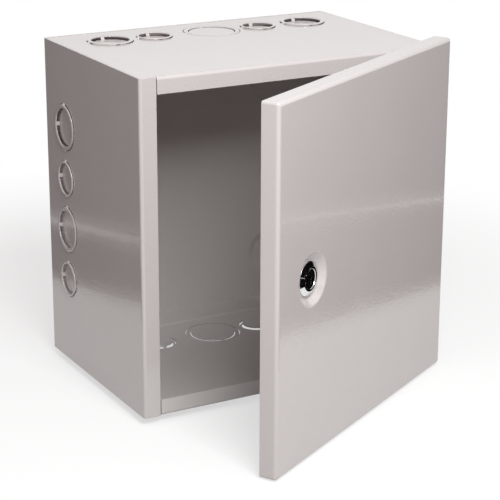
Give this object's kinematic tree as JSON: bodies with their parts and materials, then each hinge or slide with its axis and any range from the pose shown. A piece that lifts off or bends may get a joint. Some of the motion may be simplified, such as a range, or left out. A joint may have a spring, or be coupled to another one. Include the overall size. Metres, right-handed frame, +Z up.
{
  "type": "wall-mounted electrical enclosure",
  "caption": "Sheet steel wall enclosure with a hinged pan door standing ajar, a key lock in a drawn dish, and concentric conduit knockouts on its sides, top and bottom.",
  "frame": {"origin": "middle of the four wall bolt holes, on the wall plane that the mounting dimples touch", "axes": "+X to the right as the front is seen, +Y into the wall, +Z up"},
  "size_m": [0.3157, 0.3602, 0.317],
  "materials": {
    "powder coat": "gloss powder coat, light warm grey",
    "lock chrome": "bright chrome plate",
    "zinc plate": "bright zinc plate",
    "bright steel": "drawn steel"
  },
  "bodies": {
    "body": {"wrapper": "powder coat", "top_cap": "powder coat", "bottom_cap": "powder coat", "hinge_body_leaf": "powder coat", "hinge_pin": "bright steel", "ground_stud": "bright steel", "ground_washer": "zinc plate", "ground_nut": "zinc plate"},
    "door": {"door_pan": "powder coat", "hinge_door_leaf": "powder coat", "lock_housing": "lock chrome", "lock_washer": "zinc plate", "lock_nut": "zinc plate"},
    "lock_core": {"lock_plug": "lock chrome", "stop_washer": "zinc plate", "lock_cam": "zinc plate", "screw_washer": "zinc plate", "cam_screw": "zinc plate"}
  },
  "joints": [
    {"name": "door_hinge", "type": "hinge", "parent": "body", "child": "door", "pos_m": [0.1533, -0.18993, 0], "axis": [0, 0, 1], "range_deg": [-30, 135]},
    {"name": "lock_turn", "type": "hinge", "parent": "door", "child": "lock_core", "pos_m": [-0.05801, -0.32852, 0], "axis": [-0.5, 0.866, 0], "range_deg": [0, 90]}
  ]
}
